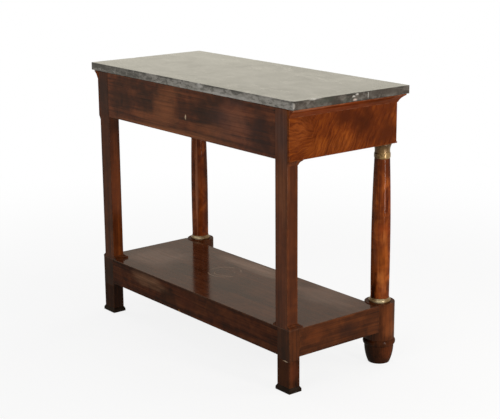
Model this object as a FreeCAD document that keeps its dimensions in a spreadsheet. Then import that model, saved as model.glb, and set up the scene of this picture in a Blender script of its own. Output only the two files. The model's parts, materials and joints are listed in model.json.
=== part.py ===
import FreeCAD, Part
import Sketcher
import math
import os

# Pier table: a marble slab on a veneered frieze with one drawer, carried by two turned columns at the
# front and two square posts at the back, which stand on a low plinth with a shelf.
# The origin is on the floor under the middle of the slab. +Z is up, the front faces -Y, +X is the
# right-hand end seen from the front. Every size is in millimetres.

SIZES = {
    # Whole table and slab
    "overall_height": 870,
    "slab_width": 1050,
    "slab_depth": 450,
    "slab_thickness": 25,
    "slab_arris": 1.2,
    "slab_gap": 2,
    "end_overhang": 26,
    "front_overhang": 23,
    "back_overhang": 6,
    # Frieze
    "frieze_height": 148.5,
    "facing_thickness": 7.2,
    "end_board_thickness": 24,
    "back_rail_thickness": 22,
    "corner_block_width": 54.5,
    "corner_block_depth": 56,
    "top_rail_height": 25,
    "top_rail_depth": 42,
    "lower_rail_height": 16,
    "lower_rail_depth": 40,
    "lip_projection": 3,
    "lip_height": 5,
    "bearer_width": 34,
    "rail_tenon_length": 14,
    "rail_tenon_thickness": 8,
    "rail_tenon_shoulder": 5,
    "edge_ease": 0.8,
    # Cornice
    "cornice_projection": 19,
    "cornice_height": 24,
    "cornice_fillet": 3,
    "cornice_foot": 1.5,
    "cornice_cove": 38,
    # Drawer
    "drawer_reveal": 1.5,
    "drawer_stop_gap": 0.2,
    "drawer_run_gap": 0.3,
    "drawer_front_thickness": 22,
    "drawer_side_thickness": 11,
    "drawer_back_room": 37,
    "drawer_headroom": 3,
    "drawer_back_thickness": 11,
    "drawer_back_drop": 8,
    "drawer_bottom_thickness": 6,
    "drawer_bottom_rise": 9,
    "groove_depth": 5,
    "joint_gap": 0.1,
    "tail_length": 14,
    "tail_count": 3,
    "tail_share": 0.66,
    "tail_taper": 3,
    "runner_width": 55,
    "guide_height": 25,
    "guide_gap": 1,
    # Back posts
    "post_width": 54.5,
    "post_depth": 39.5,
    "post_ease": 1.5,
    "post_tenon": 24,
    "post_tenon_length": 40,
    "capital_height": 13.5,
    "capital_projection": 13,
    "capital_fillet": 2,
    "capital_foot": 1,
    "capital_cove": 16,
    "base_height": 12,
    "base_projection": 11.5,
    "base_fillet": 6,
    "base_cove": 10,
    "base_ledge": 2,
    # Columns
    "column_end_inset": 30.8,
    "column_front_inset": 27.9,
    "column_foot_radius": 28.6,
    "column_belly_radius": 29.6,
    "column_belly_height": 160,
    "column_neck_radius": 23.8,
    "column_dowel_radius": 11,
    "column_dowel_length": 36,
    "ring_wall": 2.5,
    "sleeve_height": 46,
    "sleeve_band_height": 18,
    "sleeve_band_swell": 1.4,
    "sleeve_band_bevel": 4,
    "sleeve_flare": 3.6,
    "sleeve_flare_radius": 40,
    "sleeve_rim_height": 5,
    "base_ring_height": 13,
    "base_ring_step": 4,
    "base_ring_swell": 1.4,
    "base_ring_torus": 8,
    "base_ring_rim": 1,
    "base_ring_rim_height": 2,
    # Plinth
    "shelf_height": 195,
    "veneer_thickness": 2,
    "shelf_thickness": 16,
    "plinth_step": 9.8,
    "plinth_recess": 66,
    "plinth_rail_height": 85.5,
    "plinth_rail_thickness": 20,
    "plinth_corner_height": 95,
    "drum_radius": 47,
    "drum_rise": 2,
    "drum_height": 119,
    "shelf_bearer_width": 40,
    "shelf_bearer_height": 28,
    "shelf_bearer_spread": 340,
    "glue_block_length": 60,
    "glue_block_size": 18,
    # Feet
    "front_foot_top_radius": 45.5,
    "front_foot_floor_radius": 33.5,
    "bead_height": 20,
    "bead_radius": 50.5,
    "bead_root_radius": 46,
    "back_foot_width": 56,
    "back_foot_depth": 39,
    "foot_pad_height": 16,
    "foot_pad_flare": 4,
    "foot_pad_bevel": 7,
    "foot_dowel_radius": 9,
    "foot_dowel_length": 60,
}

# Places worked out from the sizes
FRIEZE_END = "(Dims.slab_width / 2 - Dims.end_overhang)"
FRIEZE_BACK = "(Dims.slab_depth / 2 - Dims.back_overhang)"
FRIEZE_FRONT = "(Dims.front_overhang - Dims.slab_depth / 2)"
SLAB_BOTTOM = "(Dims.overall_height - Dims.slab_thickness)"
CARCASE_TOP = f"({SLAB_BOTTOM} - Dims.slab_gap)"
FRIEZE_BOTTOM = f"({CARCASE_TOP} - Dims.frieze_height)"
POST_FACE = f"({FRIEZE_END} - Dims.facing_thickness)"
POST_INNER = f"({POST_FACE} - Dims.post_width)"
POST_FRONT = f"({FRIEZE_BACK} - Dims.post_depth)"
END_BOARD_INNER = f"({POST_FACE} - Dims.end_board_thickness)"
BACK_RAIL_FRONT = f"({FRIEZE_BACK} - Dims.back_rail_thickness)"
BLOCK_INNER = f"({POST_FACE} - Dims.corner_block_width)"
BLOCK_BACK = f"({FRIEZE_FRONT} + Dims.corner_block_depth)"
TOP_RAIL_BOTTOM = f"({CARCASE_TOP} - Dims.top_rail_height)"
TOP_RAIL_BACK = f"({FRIEZE_FRONT} + Dims.top_rail_depth)"
DRAWER_FACE_BACK = f"({FRIEZE_FRONT} + Dims.drawer_front_thickness)"
LOWER_RAIL_FRONT = f"({DRAWER_FACE_BACK} + Dims.drawer_stop_gap)"
LOWER_RAIL_BACK = f"({LOWER_RAIL_FRONT} + Dims.lower_rail_depth)"
RUNNER_TOP = f"({FRIEZE_BOTTOM} + Dims.lower_rail_height)"
DRAWER_END = f"({BLOCK_INNER} - Dims.drawer_reveal)"
DRAWER_SIDE_INNER = f"({DRAWER_END} - Dims.drawer_side_thickness)"
DRAWER_BACK_END = f"({BACK_RAIL_FRONT} - Dims.drawer_back_room)"
DRAWER_SIDE_BOTTOM = f"({RUNNER_TOP} + Dims.drawer_run_gap)"
DRAWER_SIDE_TOP = f"({TOP_RAIL_BOTTOM} - Dims.drawer_headroom)"
DRAWER_FLOOR = f"({DRAWER_SIDE_BOTTOM} + Dims.drawer_bottom_rise)"
DRAWER_FLOOR_TOP = f"({DRAWER_FLOOR} + Dims.drawer_bottom_thickness)"
COLUMN_X = f"({FRIEZE_END} - Dims.column_end_inset)"
COLUMN_Y = f"({FRIEZE_FRONT} + Dims.column_front_inset)"
GROUND_TOP = "(Dims.shelf_height - Dims.veneer_thickness)"
RAIL_BOTTOM = f"({GROUND_TOP} - Dims.plinth_rail_height)"
PANEL_BOTTOM = f"({GROUND_TOP} - Dims.shelf_thickness)"
PLINTH_END = f"({POST_FACE} + Dims.plinth_step)"
PLINTH_FRONT = f"({FRIEZE_FRONT} + Dims.plinth_recess)"
PLINTH_END_INNER = f"({PLINTH_END} - Dims.plinth_rail_thickness)"
PLINTH_FRONT_INNER = f"({PLINTH_FRONT} + Dims.plinth_rail_thickness)"
PLINTH_BACK_INNER = f"({FRIEZE_BACK} - Dims.plinth_rail_thickness)"
FOOT_TOP = f"({GROUND_TOP} - Dims.plinth_corner_height)"
FOOT_INNER = f"({PLINTH_END} - Dims.back_foot_width)"
FOOT_FRONT = f"({FRIEZE_BACK} - Dims.back_foot_depth)"
FOOT_MID_X = f"({PLINTH_END} - Dims.back_foot_width / 2)"
FOOT_MID_Y = f"({FRIEZE_BACK} - Dims.back_foot_depth / 2)"
DRUM_TOP = "(Dims.shelf_height + Dims.drum_rise)"
DRUM_BOTTOM = f"({DRUM_TOP} - Dims.drum_height)"
BEAD_BOTTOM = f"({DRUM_BOTTOM} - Dims.bead_height)"
COLUMN_HEIGHT = f"({FRIEZE_BOTTOM} - {DRUM_TOP})"
SCRIBE_RADIUS = "(Dims.drum_radius + Dims.joint_gap)"

# Two points closer than this are one point
SAME_POINT = 1e-6

doc = FreeCAD.newDocument("pier_table")
subparts = []


def fill_sheet():
    """Puts the driving sizes in a sheet, one aliased cell each."""
    sheet = doc.addObject("Spreadsheet::Sheet", "Dims")
    for row, (alias, size) in enumerate(SIZES.items(), start=1):
        sheet.set(f"A{row}", alias)
        sheet.set(f"B{row}", str(size))
        sheet.setAlias(f"B{row}", alias)
    doc.recompute()
    return sheet


dims = fill_sheet()


def measure(expression):
    """The value of an expression."""
    return float(dims.evalExpression(expression))


def keep(piece, label):
    """Marks a finished object as a sub-part under its own label."""
    piece.Label = label
    subparts.append(piece)
    return piece


def place(piece, x="0", y="0", z="0"):
    for axis, expression in zip("xyz", (x, y, z)):
        piece.setExpression(f"Placement.Base.{axis}", expression)


def size(piece, **expressions):
    for name, expression in expressions.items():
        piece.setExpression(name, expression)


def distance(ends):
    """The distance between a low and a high expression."""
    return f"({ends[1]}) - ({ends[0]})"


def block(name, x, y, z):
    """A plain box between two expressions on each axis."""
    box = doc.addObject("Part::Box", name)
    size(box, Length=distance(x), Width=distance(y), Height=distance(z))
    place(box, x[0], y[0], z[0])
    return box


def rod(name, radius, x, y, z):
    """An upright cylinder between two heights."""
    cylinder = doc.addObject("Part::Cylinder", name)
    size(cylinder, Radius=radius, Height=distance(z))
    place(cylinder, x, y, z[0])
    return cylinder


def board(name, x, y, z, ease="Dims.edge_ease"):
    """A board with softly rounded edges."""
    body = doc.addObject("PartDesign::Body", name)
    blank = body.newObject("PartDesign::AdditiveBox", f"{name}_blank")
    size(blank, Length=distance(x), Width=distance(y), Height=distance(z))
    doc.recompute()
    edges = body.newObject("PartDesign::Fillet", f"{name}_edges")
    edges.Base = (blank, ["Face1"])
    edges.UseAllEdges = True
    size(edges, Radius=ease)
    place(body, x[0], y[0], z[0])
    return body


def cut(name, base, tools):
    """Takes one or more cutters out of a piece."""
    tool = tools[0]
    if len(tools) > 1:
        tool = doc.addObject("Part::Compound", f"{name}_cutters")
        tool.Links = tools
    result = doc.addObject("Part::Cut", name)
    result.Base = base
    result.Tool = tool
    return result


def fuse(name, pieces):
    result = doc.addObject("Part::MultiFuse", name)
    result.Shapes = pieces
    result.Refine = True
    return result


def mirrored(source, name):
    """The same thing on the other side of the table's middle plane."""
    twin = doc.addObject("Part::Mirroring", name)
    twin.Source = source
    twin.Normal = FreeCAD.Vector(1, 0, 0)
    return twin


def keep_pair(piece, name, near="right", far="left"):
    """Keeps a piece and its mirror image."""
    keep(piece, f"{name}_{near}")
    keep(mirrored(piece, f"{name}_{far}"), f"{name}_{far}")


def rail_tenon(name, shoulder, depth, height, gap="0"):
    """The stub tenon on the right-hand end of a rail, or its mortise where a gap is given."""
    middle = f"(({depth[0]} + {depth[1]}) / 2)"
    half = f"(Dims.rail_tenon_thickness / 2 + {gap})"
    return block(name, (shoulder, f"{shoulder} + Dims.rail_tenon_length + {gap}"),
                 (f"{middle} - {half}", f"{middle} + {half}"),
                 (f"{height[0]} + Dims.rail_tenon_shoulder - {gap}",
                  f"{height[1]} - Dims.rail_tenon_shoulder + {gap}"))


def tenoned_rail(name, shoulder, depth, height):
    """A rail with a stub tenon at each end, and the cutter for the right-hand mortise."""
    rail = board(f"{name}_plank", span(shoulder), depth, height)
    tenon = rail_tenon(f"{name}_tenon", shoulder, depth, height)
    whole = fuse(name, [rail, tenon, mirrored(tenon, f"{name}_tenon_twin")])
    return whole, rail_tenon(f"{name}_mortise", shoulder, depth, height, "Dims.joint_gap")


def span(expression):
    """The same distance either side of the middle plane."""
    return (f"-{expression}", expression)


def bulge_point(start, end, radius):
    """The middle of an arc; a positive radius bows to the left of the way from start to end."""
    chord = end - start
    half = chord.Length / 2
    sag = abs(radius) - math.sqrt(radius ** 2 - half ** 2)
    side = FreeCAD.Vector(-chord.y, chord.x, 0).normalize()
    return (start + end) * 0.5 + side * math.copysign(sag, radius)


def outline(sketch, corners, arcs=None):
    """Draws a closed outline of lines and arcs. Each corner is a pair of expressions, and arcs gives
    the radius, and the side it bows to, of the edge that leaves a corner."""
    arcs = arcs or {}
    points = [FreeCAD.Vector(measure(u), measure(v), 0) for u, v in corners]
    ends = []
    for index, start in enumerate(points):
        end = points[(index + 1) % len(points)]
        if index in arcs:
            side, radius = arcs[index]
            curve = Part.Arc(start, bulge_point(start, end, side * measure(radius)), end)
        else:
            curve = Part.LineSegment(start, end)
        edge = sketch.addGeometry(curve)
        first = 1 if sketch.getPoint(edge, 1).distanceToPoint(start) < SAME_POINT else 2
        ends.append((edge, first, 3 - first))
        if index in arcs:
            rule = sketch.addConstraint(Sketcher.Constraint("Radius", edge, measure(radius)))
            sketch.setExpression(f"Constraints[{rule}]", radius)
    for index, (edge, first, last) in enumerate(ends):
        following, start, _ = ends[(index + 1) % len(ends)]
        sketch.addConstraint(Sketcher.Constraint("Coincident", edge, last, following, start))
        for kind, expression, value in zip(("DistanceX", "DistanceY"), corners[index], points[index]):
            rule = sketch.addConstraint(Sketcher.Constraint(kind, -1, 1, edge, first, value))
            sketch.setExpression(f"Constraints[{rule}]", expression)


def sketch_on(body, name, role):
    sketch = body.newObject("Sketcher::SketchObject", name)
    plane = next(item for item in body.Origin.OriginFeatures if item.Role == role)
    sketch.AttachmentSupport = [(plane, "")]
    sketch.MapMode = "FlatFace"
    return sketch


def turned(name, corners, arcs=None):
    """A piece turned about an upright axis, from an outline of (radius, height) corners."""
    body = doc.addObject("PartDesign::Body", name)
    profile = sketch_on(body, f"{name}_profile", "XZ_Plane")
    outline(profile, corners, arcs)
    turning = body.newObject("PartDesign::Revolution", f"{name}_turning")
    turning.Profile = profile
    turning.ReferenceAxis = (profile, ["V_Axis"])
    turning.Angle = 360
    return body


def pocket_through(body, name, role, corners, arcs=None):
    """Cuts an outline right through a body, both ways from the plane it is drawn on."""
    profile = sketch_on(body, f"{name}_profile", role)
    outline(profile, corners, arcs)
    doc.recompute()
    before = body.Shape.Volume
    pocket = body.newObject("PartDesign::Pocket", name)
    pocket.Profile = profile
    pocket.Type = "ThroughAll"
    pocket.SideType = "Symmetric"
    doc.recompute()
    if body.Shape.Volume >= before:
        raise RuntimeError(f"{name} cuts nothing")


def moulding(name, length, mitres):
    """A straight cornice moulding along local X that projects towards local +Y. Mitres are listed by
    the end they are on, 0 at the start and 1 at the far end."""
    body = doc.addObject("PartDesign::Body", name)
    profile = sketch_on(body, f"{name}_profile", "YZ_Plane")
    shoulder = "Dims.cornice_height - Dims.cornice_fillet"
    corners = [
        ("0", "0"),
        ("Dims.cornice_foot", "0"),
        ("Dims.cornice_projection", shoulder),
        ("Dims.cornice_projection", "Dims.cornice_height"),
        ("0", "Dims.cornice_height"),
    ]
    outline(profile, corners, {1: (1, "Dims.cornice_cove")})
    run = body.newObject("PartDesign::Pad", f"{name}_run")
    run.Profile = profile
    size(run, Length=length)
    for end in mitres:
        tip = length if end else "0"
        heel = f"{length} - Dims.cornice_projection" if end else "Dims.cornice_projection"
        corners = [(tip, "0"), (heel, "0"), (tip, "Dims.cornice_projection")]
        pocket_through(body, f"{name}_mitre_{end}", "XY_Plane", corners)
    return body


def turn(body, degrees):
    body.Placement.Rotation = FreeCAD.Rotation(FreeCAD.Vector(0, 0, 1), degrees)


def make_top():
    """The slab and the bearers that hold it clear of the cornice."""
    keep(board("slab", span("Dims.slab_width / 2"), span("Dims.slab_depth / 2"),
               (SLAB_BOTTOM, "Dims.overall_height"), "Dims.slab_arris"), "marble_top")
    run = (TOP_RAIL_BACK, BACK_RAIL_FRONT)
    heights = (TOP_RAIL_BOTTOM, SLAB_BOTTOM)
    keep_pair(block("top_bearer", (f"{BLOCK_INNER} - Dims.bearer_width", BLOCK_INNER), run, heights),
              "top_bearer")
    keep(block("middle_bearer", span("Dims.bearer_width / 2"), run, heights), "top_bearer_middle")


def make_frieze():
    """The box under the slab, open at the front for the drawer."""
    tall = (FRIEZE_BOTTOM, CARCASE_TOP)
    keep_pair(board("facing", (POST_FACE, FRIEZE_END), (FRIEZE_FRONT, FRIEZE_BACK), tall), "frieze_facing")
    keep_pair(block("end_board", (END_BOARD_INNER, POST_FACE), (BLOCK_BACK, POST_FRONT), tall),
              "frieze_end_board")
    rail, mortise = tenoned_rail("back_rail", POST_INNER, (BACK_RAIL_FRONT, FRIEZE_BACK), tall)
    keep(rail, "frieze_back_rail")
    make_posts(mortise)
    top_rail, top_mortise = tenoned_rail("top_rail", BLOCK_INNER, (FRIEZE_FRONT, TOP_RAIL_BACK),
                                         (TOP_RAIL_BOTTOM, CARCASE_TOP))
    keep(top_rail, "front_top_rail")
    lower_rail, lower_mortise = tenoned_rail("lower_rail", BLOCK_INNER, (LOWER_RAIL_FRONT, LOWER_RAIL_BACK),
                                             (FRIEZE_BOTTOM, RUNNER_TOP))
    keep(lower_rail, "front_lower_rail")
    corner = board("corner", (BLOCK_INNER, POST_FACE), (FRIEZE_FRONT, BLOCK_BACK), tall)
    socket = rod("corner_socket", "Dims.column_dowel_radius + Dims.joint_gap", COLUMN_X, COLUMN_Y,
                 (FRIEZE_BOTTOM, f"{FRIEZE_BOTTOM} + Dims.column_dowel_length + Dims.joint_gap"))
    keep_pair(cut("corner_block", corner, [socket, top_mortise, lower_mortise]), "front_corner_block")
    lip_depth = (f"{FRIEZE_FRONT} - Dims.lip_projection", FRIEZE_FRONT)
    lip_height = (FRIEZE_BOTTOM, f"{FRIEZE_BOTTOM} + Dims.lip_height")
    keep_pair(board("corner_lip", (BLOCK_INNER, FRIEZE_END), lip_depth, lip_height), "corner_lip")
    keep(board("drawer_lip", span(DRAWER_END), lip_depth, lip_height), "drawer_lip")


def make_cornice():
    """The hollow moulding round the front and the two ends."""
    foot = f"{CARCASE_TOP} - Dims.cornice_height"
    front_length = f"(2 * {FRIEZE_END} + 2 * Dims.cornice_projection)"
    front = moulding("cornice_front", front_length, [0, 1])
    turn(front, 180)
    place(front, f"{FRIEZE_END} + Dims.cornice_projection", FRIEZE_FRONT, foot)
    keep(front, "cornice_front")
    end_length = f"({FRIEZE_BACK} - {FRIEZE_FRONT} + Dims.cornice_projection)"
    end = moulding("cornice_end", end_length, [1])
    turn(end, -90)
    place(end, FRIEZE_END, FRIEZE_BACK, foot)
    keep_pair(end, "cornice")


def tails(name, gap):
    """The dovetails of a drawer side, or their sockets where a gap is given. Each tail takes the same
    share of its part of the side's height."""
    pitch = f"(({DRAWER_SIDE_TOP} - {DRAWER_SIDE_BOTTOM}) / Dims.tail_count)"
    made = []
    for index in range(int(measure("Dims.tail_count"))):
        middle = f"({DRAWER_SIDE_BOTTOM} + {pitch} * {index + 0.5})"
        half = f"({pitch} * Dims.tail_share / 2 + {gap})"
        tail = doc.addObject("Part::Wedge", f"{name}_{index}")
        size(tail,
             Xmin=f"{DRAWER_SIDE_INNER} - {gap}", X2min=f"{DRAWER_SIDE_INNER} - {gap}",
             Xmax=DRAWER_END, X2max=DRAWER_END,
             Ymin=f"{DRAWER_FACE_BACK} - Dims.tail_length - {gap}", Ymax=DRAWER_FACE_BACK,
             Zmin=f"{middle} - {half}", Zmax=f"{middle} + {half}",
             Z2min=f"{middle} - {half} + Dims.tail_taper", Z2max=f"{middle} + {half} - Dims.tail_taper")
        made.append(tail)
    return made


def make_drawer():
    """The dovetailed drawer, whose front hides the lower rail and stops against it."""
    face = board("drawer_face", span(DRAWER_END), (FRIEZE_FRONT, DRAWER_FACE_BACK),
                 (FRIEZE_BOTTOM, f"{TOP_RAIL_BOTTOM} - Dims.drawer_reveal"))
    sockets = tails("socket", "Dims.joint_gap")
    sockets += [mirrored(socket, f"{socket.Name}_twin") for socket in sockets]
    gap = "Dims.joint_gap"
    groove_height = (f"{DRAWER_FLOOR} - {gap}", f"{DRAWER_FLOOR_TOP} + {gap}")
    groove_end = f"({DRAWER_SIDE_INNER} + Dims.groove_depth)"
    groove_front = f"{DRAWER_FACE_BACK} - Dims.groove_depth - {gap}"
    groove = block("drawer_groove", span(f"({groove_end} + {gap})"),
                   (groove_front, f"{DRAWER_BACK_END} + Dims.groove_depth"), groove_height)
    front_groove = block("front_groove", span(DRAWER_SIDE_INNER), (groove_front, DRAWER_FACE_BACK),
                         groove_height)
    keep(cut("drawer_front", face, sockets + [front_groove]), "drawer_front")
    length = (DRAWER_FACE_BACK, DRAWER_BACK_END)
    height = (DRAWER_SIDE_BOTTOM, DRAWER_SIDE_TOP)
    plank = block("side_plank", (DRAWER_SIDE_INNER, DRAWER_END), length, height)
    tailed = fuse("side_with_tails", [plank] + tails("tail", "0"))
    keep_pair(cut("drawer_side", tailed, [groove]), "drawer_side")
    keep(block("drawer_back", span(DRAWER_SIDE_INNER),
               (f"{DRAWER_BACK_END} - Dims.drawer_back_thickness", DRAWER_BACK_END),
               (f"{DRAWER_FLOOR_TOP} + {gap}", f"{DRAWER_SIDE_TOP} - Dims.drawer_back_drop")), "drawer_back")
    floor = block("drawer_floor", span(groove_end),
                  (f"{DRAWER_FACE_BACK} - Dims.groove_depth", DRAWER_BACK_END),
                  (DRAWER_FLOOR, DRAWER_FLOOR_TOP))
    corner_gap = f"({DRAWER_SIDE_INNER} - {gap})"
    front_corner = block("floor_corner", (corner_gap, f"{groove_end} + {gap}"),
                         (groove_front, DRAWER_FACE_BACK), groove_height)
    corners = [front_corner, mirrored(front_corner, "floor_corner_twin")]
    keep(cut("drawer_bottom", floor, corners), "drawer_bottom")


def make_drawer_seat():
    """The runners that carry the drawer and the guides that keep it straight."""
    length = (LOWER_RAIL_BACK, POST_FRONT)
    keep_pair(block("runner", (f"{END_BOARD_INNER} - Dims.runner_width", END_BOARD_INNER), length,
                    (FRIEZE_BOTTOM, RUNNER_TOP)), "drawer_runner")
    keep_pair(block("guide", (f"{DRAWER_END} + Dims.guide_gap", END_BOARD_INNER), length,
                    (RUNNER_TOP, f"{RUNNER_TOP} + Dims.guide_height")), "drawer_guide")


def make_posts(rail_mortise):
    """The square back posts, each tenoned into the plinth's corner block."""
    shaft = board("post_shaft", (POST_INNER, POST_FACE), (POST_FRONT, FRIEZE_BACK),
                  ("Dims.shelf_height", CARCASE_TOP), "Dims.post_ease")
    post = fuse("post_with_tenon", [shaft, post_tenon("post_tenon_stub", "0")])
    keep_pair(cut("post", post, [rail_mortise]), "back_post")


def post_tenon(name, gap):
    """The tenon under a back post, or its mortise where a gap is given."""
    half = f"(Dims.post_tenon / 2 + {gap})"
    foot = f"{GROUND_TOP} - Dims.post_tenon_length - {gap}"
    return block(name, (f"{FOOT_MID_X} - {half}", f"{FOOT_MID_X} + {half}"),
                 (f"{FOOT_MID_Y} - {half}", f"{FOOT_MID_Y} + {half}"),
                 (foot, "(Dims.shelf_height + Dims.post_ease)"))


def make_post_mouldings():
    """The coved capital under the frieze and the moulded base on the shelf. Each is a block round the
    post, drawn from the post's inner back corner outwards and forwards, with a cove on its free sides."""
    side = "Dims.facing_thickness"
    corner_x = f"(Dims.post_width + {side})"
    corner_y = "(Dims.post_depth + Dims.capital_projection)"
    capital = collar("capital", "0", corner_x, corner_y, "Dims.capital_height")
    shoulder = "Dims.capital_height - Dims.capital_fillet"
    for role, edge, root in (
        ("XZ_Plane", corner_x, "Dims.post_width"),
        ("YZ_Plane", corner_y, "Dims.post_depth"),
    ):
        corners = [(edge, "0"), (edge, shoulder), (f"{root} + Dims.capital_foot", "0")]
        pocket_through(capital, f"capital_cove_{role[:2]}", role, corners, {1: (-1, "Dims.capital_cove")})
    turn(capital, 180)
    place(capital, f"-{POST_INNER}", FRIEZE_BACK, f"{FRIEZE_BOTTOM} - Dims.capital_height")
    keep_pair(capital, "post_capital", "left", "right")

    side = "Dims.plinth_step"
    inner = "Dims.base_projection"
    corner_x = f"(Dims.post_width + {side})"
    corner_y = "(Dims.post_depth + Dims.base_projection)"
    base = collar("base", inner, corner_x, corner_y, "Dims.base_height")
    for name, role, edge, root, bow in (
        ("outer", "XZ_Plane", corner_x, "(Dims.post_width + Dims.base_ledge)", 1),
        ("front", "YZ_Plane", corner_y, "(Dims.post_depth + Dims.base_ledge)", 1),
        ("inner", "XZ_Plane", f"-{inner}", "(-Dims.base_ledge)", -1),
    ):
        corners = [(edge, "Dims.base_height"), (edge, "Dims.base_fillet"), (root, "Dims.base_height")]
        pocket_through(base, f"base_cove_{name}", role, corners, {1: (bow, "Dims.base_cove")})
    turn(base, 180)
    place(base, f"-{POST_INNER}", FRIEZE_BACK, "Dims.shelf_height")
    keep_pair(base, "post_base", "left", "right")


def collar(name, inner, corner_x, corner_y, height):
    """A block round a post, open at the back and fitted to the post with a small gap."""
    gap = "Dims.joint_gap"
    body = doc.addObject("PartDesign::Body", name)
    profile = sketch_on(body, f"{name}_plan", "XY_Plane")
    post_x = f"(Dims.post_width + {gap})"
    post_y = f"(Dims.post_depth + {gap})"
    corners = [(post_x, "0"), (corner_x, "0"), (corner_x, corner_y), (f"-{inner}", corner_y)]
    if measure(inner) > 0:
        corners += [(f"-{inner}", "0"), (f"-{gap}", "0"), (f"-{gap}", post_y)]
    else:
        corners += [(f"-{inner}", post_y)]
    corners += [(post_x, post_y)]
    outline(profile, corners)
    rise = body.newObject("PartDesign::Pad", f"{name}_rise")
    rise.Profile = profile
    size(rise, Length=height)
    return body


def make_columns():
    """The turned columns with their brass sleeves. Heights are above the drum's top."""
    neck = f"({COLUMN_HEIGHT} - Dims.sleeve_height)"
    foot = "Dims.base_ring_height"
    dowel = "Dims.column_dowel_radius"
    foot_core = "(Dims.column_foot_radius - Dims.ring_wall)"
    neck_core = "(Dims.column_neck_radius - Dims.ring_wall)"
    belly = ("Dims.column_belly_radius", f"({foot} + Dims.column_belly_height)")
    rise = f"({neck} - {foot} - Dims.column_belly_height)"
    upper_bow = bow_radius("(Dims.column_belly_radius - Dims.column_neck_radius)", rise)
    lower_bow = bow_radius("(Dims.column_belly_radius - Dims.column_foot_radius)", "Dims.column_belly_height")
    corners = [
        ("0", "-Dims.column_dowel_length"),
        (dowel, "-Dims.column_dowel_length"),
        (dowel, "0"),
        (foot_core, "0"),
        (foot_core, foot),
        ("Dims.column_foot_radius", foot),
        belly,
        ("Dims.column_neck_radius", neck),
        (neck_core, neck),
        (neck_core, COLUMN_HEIGHT),
        (dowel, COLUMN_HEIGHT),
        (dowel, f"{COLUMN_HEIGHT} + Dims.column_dowel_length"),
        ("0", f"{COLUMN_HEIGHT} + Dims.column_dowel_length"),
    ]
    column = turned("column", corners, {5: (-1, lower_bow), 6: (-1, upper_bow)})
    place(column, COLUMN_X, COLUMN_Y, DRUM_TOP)
    keep_pair(column, "column")

    inside = f"({neck_core} + Dims.joint_gap)"
    waist = "Dims.column_neck_radius"
    band = f"({waist} + Dims.sleeve_band_swell)"
    rim = f"({waist} + Dims.sleeve_flare)"
    corners = [
        (inside, "0"),
        (waist, "0"),
        (band, "Dims.sleeve_band_bevel"),
        (band, "(Dims.sleeve_band_height - Dims.sleeve_band_bevel)"),
        (waist, "Dims.sleeve_band_height"),
        (rim, "(Dims.sleeve_height - Dims.sleeve_rim_height)"),
        (rim, "Dims.sleeve_height"),
        (inside, "Dims.sleeve_height"),
    ]
    capital = turned("brass_capital", corners, {4: (1, "Dims.sleeve_flare_radius")})
    place(capital, COLUMN_X, COLUMN_Y, f"{DRUM_TOP} + {neck}")
    keep_pair(capital, "column_capital")

    inside = f"({foot_core} + Dims.joint_gap)"
    belt = "(Dims.column_foot_radius + Dims.base_ring_step)"
    rim = "(Dims.column_foot_radius + Dims.base_ring_rim)"
    corners = [
        (inside, "0"),
        (belt, "0"),
        (belt, "Dims.base_ring_torus"),
        (rim, "(Dims.base_ring_height - Dims.base_ring_rim_height)"),
        (rim, "Dims.base_ring_height"),
        (inside, "Dims.base_ring_height"),
    ]
    bulge = sagitta_radius("Dims.base_ring_torus", "Dims.base_ring_swell")
    ring = turned("brass_base", corners, {1: (-1, bulge), 2: (1, "Dims.base_ring_torus")})
    place(ring, COLUMN_X, COLUMN_Y, DRUM_TOP)
    keep_pair(ring, "column_base")


def bow_radius(drop, rise):
    """Radius of an arc that starts upright and falls back by a drop over a rise."""
    return f"(({rise} ^ 2 + {drop} ^ 2) / (2 * {drop}))"


def sagitta_radius(chord, sag):
    """Radius of an arc over a chord with a given sag at its middle."""
    return f"(({chord} ^ 2 / 4 + {sag} ^ 2) / (2 * {sag}))"


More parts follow.
